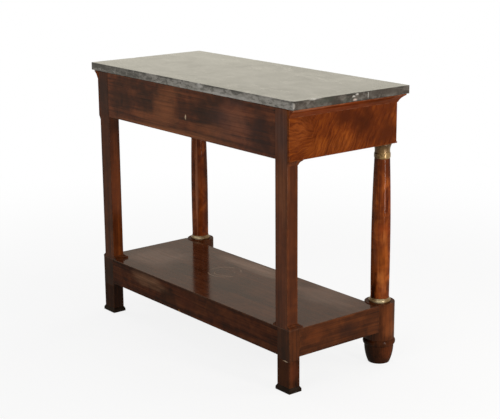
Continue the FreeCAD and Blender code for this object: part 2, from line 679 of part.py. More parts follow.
def make_plinth():
    """The low hollow plinth, its shelf and the round drums under the columns."""
    tall = (RAIL_BOTTOM, GROUND_TOP)
    drum_core = "(Dims.column_dowel_radius + Dims.joint_gap)"
    height = "Dims.drum_height"
    depth = "(Dims.column_dowel_length + Dims.joint_gap)"
    corners = [
        ("0", depth),
        (drum_core, depth),
        (drum_core, "0"),
        ("(Dims.drum_radius - Dims.edge_ease)", "0"),
        ("Dims.drum_radius", "Dims.edge_ease"),
        ("Dims.drum_radius", f"{height} - Dims.edge_ease"),
        ("(Dims.drum_radius - Dims.edge_ease)", height),
        (drum_core, height),
        (drum_core, f"{height} - {depth}"),
        ("0", f"{height} - {depth}"),
    ]
    drum = turned("drum", corners)
    place(drum, COLUMN_X, COLUMN_Y, DRUM_BOTTOM)
    keep_pair(drum, "corner_drum")

    scribe = rod("scribe", SCRIBE_RADIUS, COLUMN_X, COLUMN_Y, (RAIL_BOTTOM, DRUM_TOP))
    scribes = [scribe, mirrored(scribe, "scribe_twin")]
    corner = board("plinth_corner", (FOOT_INNER, PLINTH_END), (FOOT_FRONT, FRIEZE_BACK),
                   (FOOT_TOP, GROUND_TOP))
    mortise = post_tenon("post_mortise", "Dims.joint_gap")
    mortises = [mortise, mirrored(mortise, "post_mortise_twin")]
    back, back_mortise = tenoned_rail("plinth_back", FOOT_INNER, (PLINTH_BACK_INNER, FRIEZE_BACK), tall)
    keep(back, "plinth_back_rail")
    socket = foot_dowel("upper_socket", "Dims.joint_gap")
    keep_pair(cut("plinth_corner_block", corner, [mortise, socket, back_mortise]), "plinth_corner_block")
    front = board("plinth_front", span(COLUMN_X), (PLINTH_FRONT, PLINTH_FRONT_INNER), tall)
    keep(cut("plinth_front_rail", front, scribes), "plinth_front_rail")
    end = board("plinth_end", (PLINTH_END_INNER, PLINTH_END), (COLUMN_Y, FOOT_FRONT), tall)
    keep_pair(cut("plinth_end_rail", end, [scribe]), "plinth_end_rail")

    panel = block("panel_blank", span(PLINTH_END_INNER), (PLINTH_FRONT_INNER, PLINTH_BACK_INNER),
                  (PANEL_BOTTOM, GROUND_TOP))
    notch = block("panel_notch", (FOOT_INNER, PLINTH_END), (FOOT_FRONT, FRIEZE_BACK),
                  (PANEL_BOTTOM, GROUND_TOP))
    keep(cut("shelf_panel", panel, scribes + [notch, mirrored(notch, "panel_notch_twin")]), "shelf_panel")
    sheet = block("veneer_blank", span(PLINTH_END), (PLINTH_FRONT, FRIEZE_BACK),
                  (GROUND_TOP, "Dims.shelf_height"))
    keep(cut("shelf_veneer", sheet, scribes + mortises), "shelf_veneer")


def make_plinth_inside():
    """The battens under the shelf and the glue blocks along the rails."""
    batten_low = f"{PANEL_BOTTOM} - Dims.shelf_bearer_height"
    batten = block("shelf_batten", ("Dims.shelf_bearer_spread / 2 - Dims.shelf_bearer_width / 2",
                                    "Dims.shelf_bearer_spread / 2 + Dims.shelf_bearer_width / 2"),
                   (PLINTH_FRONT_INNER, PLINTH_BACK_INNER), (batten_low, PANEL_BOTTOM))
    battens = doc.addObject("Part::Compound", "shelf_battens")
    battens.Links = [batten, mirrored(batten, "shelf_batten_twin")]
    keep(battens, "shelf_bearers")

    height = (f"{PANEL_BOTTOM} - Dims.glue_block_size", PANEL_BOTTOM)
    half = "Dims.glue_block_length / 2"
    front_row = (PLINTH_FRONT_INNER, f"{PLINTH_FRONT_INNER} + Dims.glue_block_size")
    back_row = (f"{PLINTH_BACK_INNER} - Dims.glue_block_size", PLINTH_BACK_INNER)
    outside = f"({FOOT_INNER} - Dims.shelf_bearer_spread / 2)"
    station = f"(Dims.shelf_bearer_spread / 2 + {outside} / 2)"
    blocks = []
    for row_name, row in (("front", front_row), ("back", back_row)):
        blocks.append(block(f"glue_block_{row_name}_middle", (f"-{half}", half), row, height))
        outer = block(f"glue_block_{row_name}_outer", (f"{station} - {half}", f"{station} + {half}"),
                      row, height)
        blocks += [outer, mirrored(outer, f"{outer.Name}_twin")]
    middle = f"(({PLINTH_FRONT_INNER} + {FOOT_FRONT}) / 2)"
    end = block("glue_block_end", (f"{PLINTH_END_INNER} - Dims.glue_block_size", PLINTH_END_INNER),
                (f"{middle} - {half}", f"{middle} + {half}"), height)
    blocks += [end, mirrored(end, "glue_block_end_twin")]
    group = doc.addObject("Part::Compound", "glue_blocks")
    group.Links = blocks
    keep(group, "plinth_glue_blocks")


def foot_dowel(name, gap):
    """The dowel between a back foot and its corner block, or its hole where a gap is given."""
    half = f"(Dims.foot_dowel_length / 2 + {gap})"
    return rod(name, f"Dims.foot_dowel_radius + {gap}", FOOT_MID_X, FOOT_MID_Y,
               (f"{FOOT_TOP} - {half}", f"{FOOT_TOP} + {half}"))


def make_feet():
    """The turned feet at the front and the square feet with flared pads at the back."""
    bead = sagitta_radius("Dims.bead_height", "(Dims.bead_radius - Dims.bead_root_radius)")
    swell = bow_radius("(Dims.front_foot_top_radius - Dims.front_foot_floor_radius)", BEAD_BOTTOM)
    dowel_top = f"({DRUM_BOTTOM} + Dims.column_dowel_length)"
    corners = [
        ("0", "0"),
        ("Dims.front_foot_floor_radius", "0"),
        ("Dims.front_foot_top_radius", BEAD_BOTTOM),
        ("Dims.bead_root_radius", BEAD_BOTTOM),
        ("Dims.bead_root_radius", DRUM_BOTTOM),
        ("Dims.column_dowel_radius", DRUM_BOTTOM),
        ("Dims.column_dowel_radius", dowel_top),
        ("0", dowel_top),
    ]
    foot = turned("bun_foot", corners, {1: (-1, swell), 3: (-1, bead)})
    place(foot, COLUMN_X, COLUMN_Y, "0")
    keep_pair(foot, "front_foot")

    stump = board("foot_stump", (FOOT_INNER, PLINTH_END), (FOOT_FRONT, FRIEZE_BACK),
                  ("Dims.foot_pad_height", FOOT_TOP))
    keep_pair(cut("back_foot", stump, [foot_dowel("lower_socket", "Dims.joint_gap")]), "back_foot")
    dowel = foot_dowel("foot_dowel", "0")
    dowels = doc.addObject("Part::Compound", "foot_dowels")
    dowels.Links = [dowel, mirrored(dowel, "foot_dowel_twin")]
    keep(dowels, "back_foot_dowels")

    pad = doc.addObject("PartDesign::Body", "foot_pad")
    blank = pad.newObject("PartDesign::AdditiveBox", "foot_pad_blank")
    size(blank, Length="Dims.back_foot_width + 2 * Dims.foot_pad_flare",
         Width="Dims.back_foot_depth + 2 * Dims.foot_pad_flare", Height="Dims.foot_pad_height")
    doc.recompute()
    bevel = pad.newObject("PartDesign::Chamfer", "foot_pad_bevel")
    bevel.Base = (blank, top_edges(blank.Shape))
    bevel.ChamferType = "Two distances"
    size(bevel, Size="Dims.foot_pad_bevel", Size2="Dims.foot_pad_flare")
    place(pad, f"{FOOT_INNER} - Dims.foot_pad_flare", f"{FOOT_FRONT} - Dims.foot_pad_flare", "0")
    keep_pair(pad, "back_foot_pad")


def top_edges(shape):
    """Names of the edges that lie in a shape's top plane."""
    top = shape.BoundBox.ZMax
    return [f"Edge{number}" for number, edge in enumerate(shape.Edges, start=1)
            if abs(edge.BoundBox.ZMin - top) < SAME_POINT]


def write_parts():
    """Checks every object, then writes each sub-part to its own file."""
    doc.recompute()
    for item in doc.Objects:
        if "Invalid" in item.State or "Error" in item.State:
            raise RuntimeError(f"{item.Label} failed: {item.State}")
    for piece in subparts:
        if piece.Shape.isNull() or not piece.Shape.isValid() or not piece.Shape.Solids:
            raise RuntimeError(f"{piece.Label} has no valid solid")
    os.makedirs("parts", exist_ok=True)
    for piece in subparts:
        piece.Shape.exportStep(f"parts/{piece.Label}.step")
        box = piece.Shape.BoundBox
        print(f"{piece.Label}: {len(piece.Shape.Solids)} solid(s), {piece.Shape.Volume / 1000:.1f} cm3,"
              f" z {box.ZMin:.1f} to {box.ZMax:.1f}")
    print(len(subparts), "sub-parts")


make_top()
make_frieze()
make_cornice()
make_drawer()
make_drawer_seat()
make_post_mouldings()
make_columns()
make_plinth()
make_plinth_inside()
make_feet()
write_parts()
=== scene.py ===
import json
import math

import bmesh
import bpy
from mathutils import Matrix, Vector, noise


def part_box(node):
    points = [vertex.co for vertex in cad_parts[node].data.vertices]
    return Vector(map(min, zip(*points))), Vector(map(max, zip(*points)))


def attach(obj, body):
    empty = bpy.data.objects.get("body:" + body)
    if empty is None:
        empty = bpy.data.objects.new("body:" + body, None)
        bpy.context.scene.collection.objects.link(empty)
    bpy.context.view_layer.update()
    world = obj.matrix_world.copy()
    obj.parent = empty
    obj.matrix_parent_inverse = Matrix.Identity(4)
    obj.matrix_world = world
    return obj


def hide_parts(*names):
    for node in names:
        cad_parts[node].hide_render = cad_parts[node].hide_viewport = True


# Pier table seen from behind and from its left-hand end, on a pale studio floor.
# Lengths are metres in the frame of the part. Colours given to paint() are 8-bit screen values.

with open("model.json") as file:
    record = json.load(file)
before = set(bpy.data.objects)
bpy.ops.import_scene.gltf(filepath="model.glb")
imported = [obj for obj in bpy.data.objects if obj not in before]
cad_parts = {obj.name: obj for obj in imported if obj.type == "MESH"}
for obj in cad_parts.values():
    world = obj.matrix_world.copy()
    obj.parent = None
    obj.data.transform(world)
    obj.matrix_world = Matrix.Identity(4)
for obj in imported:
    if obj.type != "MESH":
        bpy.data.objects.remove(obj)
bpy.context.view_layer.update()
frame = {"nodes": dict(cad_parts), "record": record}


def paint(red, green, blue):
    """A screen colour as the linear colour that a shader takes."""
    def linear(value):
        value /= 255
        return value / 12.92 if value <= 0.04045 else ((value + 0.055) / 1.055) ** 2.4
    return (linear(red), linear(green), linear(blue), 1.0)


# Camera, from the straight edges of the table
CAMERA_PLACE = (-3.1696, 2.4718, 1.4620)
CAMERA_HEADING = math.radians(128.345)
CAMERA_PITCH = math.radians(-14.488)
CAMERA_ROLL = math.radians(-0.442)
CAMERA_LENS = 91.97

# Stage, in linear colours
WHITE = (1.0, 1.0, 1.0, 1.0)
WALL = (0.88, 0.84, 0.71, 1.0)
SKY_FOR_OBJECT = 0.12
FLOOR_SIZE = 80.0
FLOOR_SEEN = (0.90, 0.90, 0.90, 1.0)
FLOOR_BOUNCE = (0.20, 0.20, 0.20, 1.0)
FLOOR_GLOW = 0.85
FLOOR_FADE = (0.9, 2.6)
REFLECTED_RAYS = ("Is Glossy Ray", "Is Transmission Ray")
BACKGROUND_RAYS = ("Is Camera Ray", *REFLECTED_RAYS)

# Softboxes: name, place, aim, width, height, watts, tint, and whether polish mirrors it
WARM = (1.0, 0.97, 0.90)
NEUTRAL = (1.0, 1.0, 1.0)
TABLE_MIDDLE = (0.0, 0.0, 0.45)
LAMPS = (
    ("strip", (-2.37, -0.17, 0.80), (0.0, -0.17, 0.80), 0.40, 1.5, 25, WARM, True),
    ("side", (-1.9, -1.6, 0.75), TABLE_MIDDLE, 0.8, 1.2, 17, WARM, False),
    ("back", (-0.9, 3.2, 2.2), TABLE_MIDDLE, 2.6, 2.0, 44, NEUTRAL, False),
    ("front", (0.9, -3.4, 1.9), TABLE_MIDDLE, 2.2, 2.0, 34, NEUTRAL, False),
    ("right", (3.4, 0.6, 1.8), TABLE_MIDDLE, 2.2, 2.0, 30, NEUTRAL, False),
    ("overhead", (0.2, -0.3, 3.4), TABLE_MIDDLE, 3.0, 3.0, 20, NEUTRAL, False),
)

# Wood colours: dark, middle, light and rubbed
FLAME = (paint(68, 24, 4), paint(106, 45, 10), paint(137, 66, 15), paint(160, 96, 46))
MAHOGANY = (paint(54, 22, 9), paint(94, 44, 17), paint(126, 64, 26), paint(150, 92, 52))
# Lower parts, feet and the plinth's stained boards get darker copies of their colours, as painted shade
SHADED_LOWER = (paint(42, 19, 9), paint(76, 37, 16), paint(106, 55, 25), paint(134, 84, 48))
SHADED_FOOT = (paint(34, 17, 9), paint(66, 33, 16), paint(90, 48, 24), paint(120, 76, 46))
STAINED = (paint(50, 26, 17), paint(100, 50, 29), paint(136, 76, 46), paint(150, 98, 62))
SHADED_STAINED = (paint(38, 18, 10), paint(78, 37, 19), paint(104, 56, 30), paint(126, 82, 50))
COLUMN = (paint(66, 20, 7), paint(124, 56, 19), paint(170, 88, 34), paint(176, 108, 60))
# Cornice colours: lighter than the other mahogany as painted light; the rubbed one is partly a painted
# highlight
LIT_CORNICE = (paint(88, 36, 13), paint(127, 58, 25), paint(152, 80, 38), paint(196, 148, 118))
SHELF = (paint(56, 26, 14), paint(80, 41, 23), paint(98, 54, 31), paint(116, 78, 52))
PAD = (paint(22, 15, 12), paint(40, 29, 22), paint(56, 42, 32), paint(90, 70, 52))
PLAIN = (paint(120, 84, 50), paint(166, 124, 80), paint(196, 156, 108), paint(206, 172, 128))

# Straight mahogany by the start of a node's name: colours, gloss and wear
MAHOGANY_KINDS = (
    (("cornice",), LIT_CORNICE, 0.13, 0.18),
    (("front_foot", "back_foot"), SHADED_FOOT, 0.10, 0.25),
    (("plinth_", "corner_drum", "post_base"), SHADED_LOWER, 0.19, 0.12),
    (("",), MAHOGANY, 0.25, 0.15),
)

# Streaks in the wood: length and width
FIBRE = (0.20, 0.0024)
BAND = (0.45, 0.017)
PORE = (0.012, 0.0007)

# Rubbed edges of the wood: distances from an edge at which the rub is full and at which it ends
RUB_FADE = (0.0004, 0.0035)

# Crotch figure: places of its focus, scales of noise in its rays and feathers, and the lean of the feathers
FOCUS_HEIGHT = 0.748
FOCUS_ON_END = 0.070
FOCUS_ON_FRONT = 0.14
RAY_SCALE = (19.0, 22.0)
FEATHER_SCALE = (130.0, 17.0)
FEATHER_LEAN = 0.5
FIGURE_NOISE = {"detail": 7.0, "roughness": 0.68, "distortion": 0.3}

# Stone and brass colours: dark, middle and light, then those laid over them
STONE = (paint(48, 45, 43), paint(77, 73, 69), paint(108, 103, 98))
STONE_CLOUD = paint(158, 151, 143)
STONE_VEIN = paint(196, 190, 178)
STONE_FLECK = paint(164, 159, 150)
# Painted light on the marble's back edge
STONE_BACK_LIGHT = paint(176, 171, 163)
STONE_ON_END = paint(52, 41, 35)
STONE_MOTTLE = (paint(46, 43, 41), paint(192, 188, 182))
STONE_ARRIS = paint(36, 35, 34)
BRASS = (paint(112, 86, 52), paint(146, 117, 76), paint(176, 146, 102))
BRASS_TARNISH = paint(80, 56, 30)
# Painted shade on a capital: on its inner side, above its band and most at its top
BRASS_IN_SHADE = paint(56, 40, 22)
BRASS_SHADE_OVER_BAND = paint(84, 54, 30)
BRASS_SHADE_AT_TOP = paint(50, 32, 18)
BRASS_RING = paint(92, 72, 50)

# Marble: how its pattern is drawn out, and its veins as noise scale, width in noise and strength
STONE_BED = (0.62, 1.0, 1.0)
VEINS = ((3.2, 0.006, 0.75), (8.0, 0.007, 0.60), (19.0, 0.010, 0.45))

# Noise of the mottle on the marble's edges and of the grain in the brass, in cells per metre along each axis
MOTTLE_SCALE = (32, 32, 75)
BRASS_SCALE = (210, 210, 330)

# Distances from the marble's faces over which the tints of its edges fade
STONE_SKIN = 0.0005
BACK_FADE = (STONE_SKIN, 0.0015)
END_FADE = (STONE_SKIN, 0.003)
ARRIS_FADE = (0.003, 0.007)

# Heights above the foot of a brass capital where its band ends and where its painted shade deepens
BAND_END = (0.0175, 0.0195)
CAPITAL_DARKENS = (0.024, 0.044)

# Colours of marks
DARK_STAIN = paint(40, 20, 13)
PURPLE_STAIN = paint(46, 25, 22)
BLEACHED = paint(156, 94, 58)
BARE = paint(230, 202, 168)
GOLDEN = paint(176, 124, 58)
DARK_SPECK = paint(30, 12, 8)
# Painted reflection and painted shade on the shelf's polish
SHELF_PAINTED_REFLECTION = paint(140, 108, 92)
SHELF_SHADE = paint(44, 22, 12)
GLASS_STAIN = paint(186, 150, 122)
PALE_STONE = paint(206, 202, 196)
GREEN_STONE = paint(44, 52, 44)

# Faces of the part that marks lie on, and the middles of its back posts and corners
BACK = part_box("frieze_back_rail")[1].y
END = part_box("frieze_facing_left")[0].x
PLINTH_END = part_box("plinth_end_rail_left")[0].x
SHELF_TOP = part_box("shelf_veneer")[1].z
SLAB_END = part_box("marble_top")[0].x
SLAB_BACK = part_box("marble_top")[1].y
POST = sum(corner.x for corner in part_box("back_post_right")) / 2
CORNER = sum(corner.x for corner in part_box("plinth_corner_block_right")) / 2

# Marks by node: place, reach, colour, strength. Some of them are painted light and shade, as noted at them.
MARKS = {
    "frieze_back_rail": (
        ((0.205, BACK, 0.785), (0.095, 0.05, 0.062), DARK_STAIN, 0.85),
        ((0.290, BACK, 0.825), (0.150, 0.05, 0.024), DARK_STAIN, 0.45),
        ((0.098, BACK, 0.772), (0.090, 0.05, 0.080), BLEACHED, 0.65),
        ((-0.125, BACK, 0.782), (0.170, 0.05, 0.070), DARK_STAIN, 0.90),
        ((0.340, BACK, 0.770), (0.110, 0.05, 0.070), DARK_STAIN, 0.65),
        ((0.020, BACK, 0.775), (0.050, 0.05, 0.040), DARK_STAIN, 0.40),
        ((0.030, BACK, 0.699), (0.400, 0.05, 0.018), BLEACHED, 0.85),
        ((0.070, BACK, 0.824), (0.090, 0.05, 0.030), BLEACHED, 0.45),
        ((0.134, BACK, 0.730), (0.170, 0.05, 0.035), BLEACHED, 0.45),
        ((-0.156, BACK, 0.730), (0.150, 0.05, 0.032), BLEACHED, 0.45),
        ((-0.265, BACK, 0.775), (0.070, 0.05, 0.060), BLEACHED, 0.40),
        ((-0.385, BACK, 0.745), (0.085, 0.05, 0.085), PURPLE_STAIN, 0.90),
        ((-0.365, BACK, 0.810), (0.035, 0.05, 0.050), PURPLE_STAIN, 0.60),
        ((-0.231, BACK, 0.832), (0.220, 0.05, 0.024), DARK_STAIN, 0.50),
        ((-0.250, BACK, 0.765), (0.150, 0.05, 0.100), paint(122, 84, 76), 0.30),
        ((-0.005, BACK, 0.7546), (0.0040, 0.02, 0.011), BARE, 1.6),
    ),
    "back_post_left": (
        ((-POST, BACK, 0.420), (0.050, 0.03, 0.300), paint(128, 68, 42), 0.40),
        ((-POST, BACK, 0.770), (0.060, 0.03, 0.120), paint(98, 70, 62), 0.60),
        ((-0.470, BACK, 0.610), (0.040, 0.02, 0.130), BLEACHED, 0.45),
        ((-0.492, 0.196, 0.480), (0.014, 0.035, 0.360), paint(64, 28, 10), 0.60),
    ),
    "back_post_right": (
        ((POST, BACK, 0.450), (0.060, 0.03, 0.400), DARK_STAIN, 0.40),
        ((POST, BACK, 0.770), (0.060, 0.03, 0.120), paint(60, 42, 38), 0.65),
        ((0.437, 0.200, 0.660), (0.020, 0.04, 0.050), paint(44, 20, 8), 0.50),
        # The orange upright strip on the post's inner face is a painted highlight.
        ((0.437, 0.200, 0.450), (0.020, 0.03, 0.180), paint(140, 66, 26), 0.40),
    ),
    "frieze_facing_left": (
        ((END, 0.010, 0.725), (0.05, 0.070, 0.042), paint(164, 84, 26), 0.35),
        ((END, 0.110, 0.722), (0.05, 0.090, 0.035), paint(160, 84, 28), 0.25),
        ((END, -0.035, 0.785), (0.05, 0.030, 0.034), paint(60, 20, 4), 0.50),
        ((END, 0.180, 0.775), (0.05, 0.060, 0.070), paint(148, 76, 30), 0.50),
        ((END, -0.075, 0.775), (0.05, 0.060, 0.066), paint(52, 17, 3), 0.80),
        ((END, 0.005, 0.800), (0.05, 0.060, 0.044), paint(58, 19, 4), 0.75),
        ((END, -0.160, 0.728), (0.05, 0.065, 0.058), paint(58, 22, 6), 0.70),
        ((END, -0.155, 0.800), (0.05, 0.050, 0.040), paint(72, 28, 9), 0.55),
    ),
    # On the near drum, the orange patches on its end side are painted light and the dark upright strip
    # towards the back is painted shade.
    "corner_drum_left": (
        ((-0.512, -0.178, 0.116), (0.030, 0.030, 0.034), paint(140, 80, 44), 0.55),
        ((-0.514, -0.166, 0.145), (0.030, 0.026, 0.075), paint(124, 64, 30), 0.70),
        ((-0.4975, -0.137, 0.130), (0.020, 0.006, 0.080), paint(36, 16, 8), 0.50),
    ),
    "front_foot_left": (
        ((-0.510, -0.172, 0.045), (0.040, 0.030, 0.040), paint(104, 50, 24), 0.70),
    ),
    "cornice_left": (
        # Painted shade on the front part of the end cornice.
        ((-0.515, -0.130, 0.832), (0.05, 0.120, 0.034), paint(72, 34, 14), 0.65),
        # A painted highlight along the top arris of its back half.
        ((-0.517, 0.150, 0.841), (0.02, 0.110, 0.008), paint(176, 114, 84), 0.55),
        ((-0.505, 0.195, 0.824), (0.02, 0.050, 0.012), paint(84, 40, 18), 0.50),
        # Painted shade along its lower edge, against the facing.
        ((-0.501, 0.060, 0.8205), (0.010, 0.300, 0.005), paint(92, 40, 14), 0.60),
    ),
    "plinth_back_rail": (
        ((0.235, BACK, 0.170), (0.130, 0.05, 0.030), paint(150, 108, 80), 0.80),
        ((-0.130, BACK, 0.170), (0.050, 0.05, 0.030), paint(26, 14, 10), 0.50),
        ((0.053, BACK, 0.1115), (0.0060, 0.02, 0.0045), GOLDEN, 1.4),
        ((-0.250, BACK, 0.150), (0.160, 0.05, 0.040), paint(66, 30, 20), 0.35),
        ((0.110, BACK, 0.140), (0.060, 0.05, 0.050), paint(30, 15, 9), 0.60),
        ((0.010, BACK, 0.155), (0.060, 0.05, 0.040), paint(96, 46, 26), 0.50),
        ((-0.120, BACK, 0.125), (0.060, 0.05, 0.030), paint(92, 44, 26), 0.35),
        # Painted shade along the top of the rail, under the shelf's edge.
        ((0.0, BACK, 0.196), (0.9, 0.05, 0.014), paint(24, 12, 8), 0.90),
    ),
    "back_foot_left": (
        ((-0.4834, BACK, 0.0970), (0.013, 0.01, 0.0022), BARE, 1.6),
        ((PLINTH_END, 0.205, 0.066), (0.02, 0.030, 0.045), paint(112, 54, 30), 0.50),
    ),
    "back_foot_right": (
        ((CORNER, BACK, 0.060), (0.060, 0.05, 0.060), paint(22, 13, 10), 0.45),
    ),
    "plinth_corner_block_left": (
        ((-CORNER, BACK, 0.140), (0.060, 0.012, 0.090), paint(34, 18, 11), 0.45),
        ((PLINTH_END, 0.196, 0.150), (0.008, 0.030, 0.070), paint(108, 56, 26), 0.35),
    ),
    "plinth_corner_block_right": (
        ((CORNER, BACK, 0.140), (0.060, 0.05, 0.090), paint(30, 16, 12), 0.45),
    ),
    "plinth_end_rail_left": (
        ((PLINTH_END, 0.120, 0.160), (0.05, 0.060, 0.035), paint(118, 58, 24), 0.50),
        ((PLINTH_END, -0.010, 0.150), (0.05, 0.050, 0.030), paint(34, 20, 18), 0.50),
        ((PLINTH_END, -0.115, 0.130), (0.05, 0.030, 0.035), paint(118, 62, 30), 0.30),
    ),
    # On the shelf, the pale patches are painted reflections and the dark ones painted shade.
    "shelf_veneer": (
        ((0.380, 0.080, SHELF_TOP), (0.180, 0.130, 0.02), SHELF_PAINTED_REFLECTION, 0.60),
        ((0.210, 0.100, SHELF_TOP), (0.120, 0.080, 0.02), SHELF_SHADE, 0.45),
        ((0.110, 0.045, SHELF_TOP), (0.090, 0.060, 0.02), SHELF_SHADE, 0.45),
        ((-0.330, -0.080, SHELF_TOP), (0.200, 0.100, 0.02), SHELF_PAINTED_REFLECTION, 0.50),
        ((0.060, -0.095, SHELF_TOP), (0.280, 0.050, 0.02), paint(164, 130, 110), 0.55),
        ((-0.040, 0.090, SHELF_TOP), (0.160, 0.100, 0.02), SHELF_SHADE, 0.45),
    ),
    # On the near column, the narrow pale streaks at 0.240, 0.278 and 0.400 high are painted highlights.
    "column_left": (
        # The dark strips at 0.232, 0.245 and 0.640 high, at its sides, are painted shade.
        ((-0.5108, -0.160, 0.530), (0.004, 0.005, 0.005), DARK_SPECK, 1.2),
        ((-0.5108, -0.172, 0.530), (0.004, 0.005, 0.005), DARK_SPECK, 1.2),
        ((-0.468, -0.174, 0.635), (0.20, 0.20, 0.060), paint(56, 20, 12), 0.50),
        ((-0.510, -0.150, 0.430), (0.06, 0.05, 0.040), paint(150, 62, 20), 0.50),
        ((-0.500, -0.150, 0.330), (0.03, 0.03, 0.090), paint(166, 84, 24), 0.60),
        ((-0.502, -0.160, 0.400), (0.012, 0.012, 0.055), paint(204, 118, 58), 0.60),
        ((-0.499, -0.161, 0.240), (0.012, 0.012, 0.040), paint(178, 102, 58), 0.50),
        ((-0.468, -0.144, 0.232), (0.020, 0.014, 0.060), paint(36, 12, 5), 1.00),
        ((-0.466, -0.145, 0.325), (0.024, 0.016, 0.080), paint(150, 78, 36), 0.80),
        ((-0.493, -0.153, 0.278), (0.020, 0.020, 0.035), paint(200, 112, 50), 0.80),
        ((-0.491, -0.183, 0.640), (0.010, 0.010, 0.050), paint(50, 18, 12), 0.70),
        ((-0.499, -0.182, 0.245), (0.012, 0.012, 0.055), paint(60, 26, 14), 0.80),
    ),
    # On the far column, the pale streak and paler bands on its back side are a painted highlight.
    "column_right": (
        # The dark strips on its side towards the middle of the table are painted shade.
        ((0.453, -0.150, 0.450), (0.030, 0.030, 0.300), paint(150, 74, 30), 0.25),
        ((0.453, -0.150, 0.400), (0.008, 0.008, 0.260), paint(196, 128, 92), 0.75),
        ((0.449, -0.160, 0.260), (0.030, 0.020, 0.060), paint(138, 66, 30), 0.40),
        ((0.438, -0.186, 0.400), (0.016, 0.016, 0.350), paint(50, 20, 9), 0.70),
        ((0.440, -0.179, 0.480), (0.010, 0.012, 0.070), paint(40, 14, 6), 0.70),
    ),
    # The bright patches on the column bases are painted highlights.
    "column_base_left": (
        ((-0.497, -0.147, 0.200), (0.026, 0.024, 0.02), paint(200, 184, 148), 0.90),
    ),
    "column_base_right": (
        ((0.447, -0.142, 0.200), (0.026, 0.026, 0.02), paint(214, 196, 160), 1.00),
    ),
    "marble_top": (
        ((SLAB_END, -0.014, 0.8650), (0.01, 0.008, 0.0035), PALE_STONE, 0.80),
        ((SLAB_END, -0.001, 0.8605), (0.01, 0.008, 0.0035), PALE_STONE, 0.80),
        ((SLAB_END, -0.006, 0.8505), (0.01, 0.011, 0.0040), paint(218, 196, 186), 0.90),
        ((SLAB_END, -0.0577, 0.8580), (0.01, 0.0025, 0.012), PALE_STONE, 0.80),
        ((SLAB_END, SLAB_BACK, 0.8560), (0.012, 0.009, 0.013), PALE_STONE, 0.60),
        ((SLAB_END, 0.145, 0.8695), (0.02, 0.030, 0.004), PALE_STONE, 0.90),
        ((SLAB_END, 0.105, 0.8600), (0.02, 0.060, 0.012), GREEN_STONE, 0.60),
        ((SLAB_END, 0.022, 0.8530), (0.01, 0.030, 0.010), GREEN_STONE, 0.50),
        ((SLAB_END, -0.130, 0.8590), (0.01, 0.110, 0.016), paint(56, 48, 43), 0.75),
        ((-0.240, SLAB_BACK, 0.8480), (0.260, 0.01, 0.008), PALE_STONE, 0.50),
        ((0.470, SLAB_BACK, 0.8620), (0.090, 0.01, 0.014), paint(48, 45, 43), 0.80),
        ((-0.0918, SLAB_BACK, 0.8610), (0.022, 0.01, 0.007), PALE_STONE, 0.70),
        ((-0.0818, SLAB_BACK, 0.8670), (0.012, 0.01, 0.004), PALE_STONE, 0.70),
    ),
}

# Rings that glasses left on the shelf: centre, radius, width, colour, strength
SHELF_RINGS = (
    ((0.078, 0.012, SHELF_TOP), 0.055, 0.0040, GLASS_STAIN, 0.40),
    ((0.074, 0.016, SHELF_TOP), 0.034, 0.0035, GLASS_STAIN, 0.30),
)

# Chips along the slab's upper edge: place, half length, depth
SLAB_CHIPS = (
    ((SLAB_END, 0.145), 0.016, 0.0045),
    ((SLAB_END, SLAB_BACK), 0.012, 0.0050),
    ((SLAB_END, -0.004), 0.022, 0.0055),
    ((SLAB_END, -0.052), 0.008, 0.0035),
    ((-0.085, SLAB_BACK), 0.016, 0.0040),
    ((0.330, SLAB_BACK), 0.012, 0.0030),
    ((-SLAB_END, 0.060), 0.014, 0.0040),
    ((0.210, -SLAB_BACK), 0.010, 0.0030),
)

# Worn arrises of the slab: spacing of points, usual wear, and depth of nicks for noise past a limit
SLAB_STEP = 0.004
SLAB_WEAR = 0.0009
SLAB_NICK = 0.004
NICK_LIMIT = 0.30

# Noise along the arrises, in cells per metre
WEAR_NOISE = 110
NICK_NOISE = 28
CHIP_NOISE = 190

# Rounding of an arris, as shares of its wear: in from the side, and in from the flat face
ARRIS_PROFILE = ((1.0, 0.0), (0.45, 0.15), (0.15, 0.45), (0.0, 1.0))

# Shift of the noise from one node to the next
SEED_STEP = (1.37, 2.11, 0.83)


class Tree:
    """A node tree, with short calls for the nodes that it is built from."""

    def __init__(self, tree):
        self.tree = tree

    def join(self, value, socket):
        """Links an output to a socket, or sets the socket to a constant."""
        if isinstance(value, bpy.types.NodeSocket):
            self.tree.links.new(value, socket)
        else:
            socket.default_value = value

    def node(self, kind, inputs, output=0, **settings):
        """Adds a node, sets its inputs by name or number, and returns one of its outputs."""
        made = self.tree.nodes.new(kind)
        for name, value in settings.items():
            setattr(made, name, value)
        for key, value in inputs.items():
            self.join(value, made.inputs[key])
        return made.outputs[output]

    def maths(self, operation, first, second=0.0):
        return self.node("ShaderNodeMath", {0: first, 1: second}, operation=operation)

    def chain(self, operation, values):
        """One operation on any number of values, from left to right."""
        total = values[0]
        for value in values[1:]:
            total = self.maths(operation, total, value)
        return total

    def rays(self, kinds):
        """1 for rays of these kinds and 0 for the others."""
        path = self.tree.nodes.new("ShaderNodeLightPath")
        return self.chain("MAXIMUM", [path.outputs[kind] for kind in kinds])

    def either(self, share, first, second):
        """The first shader where the share is 0, the second where it is 1."""
        return self.node("ShaderNodeMixShader", {0: share, 1: first, 2: second})


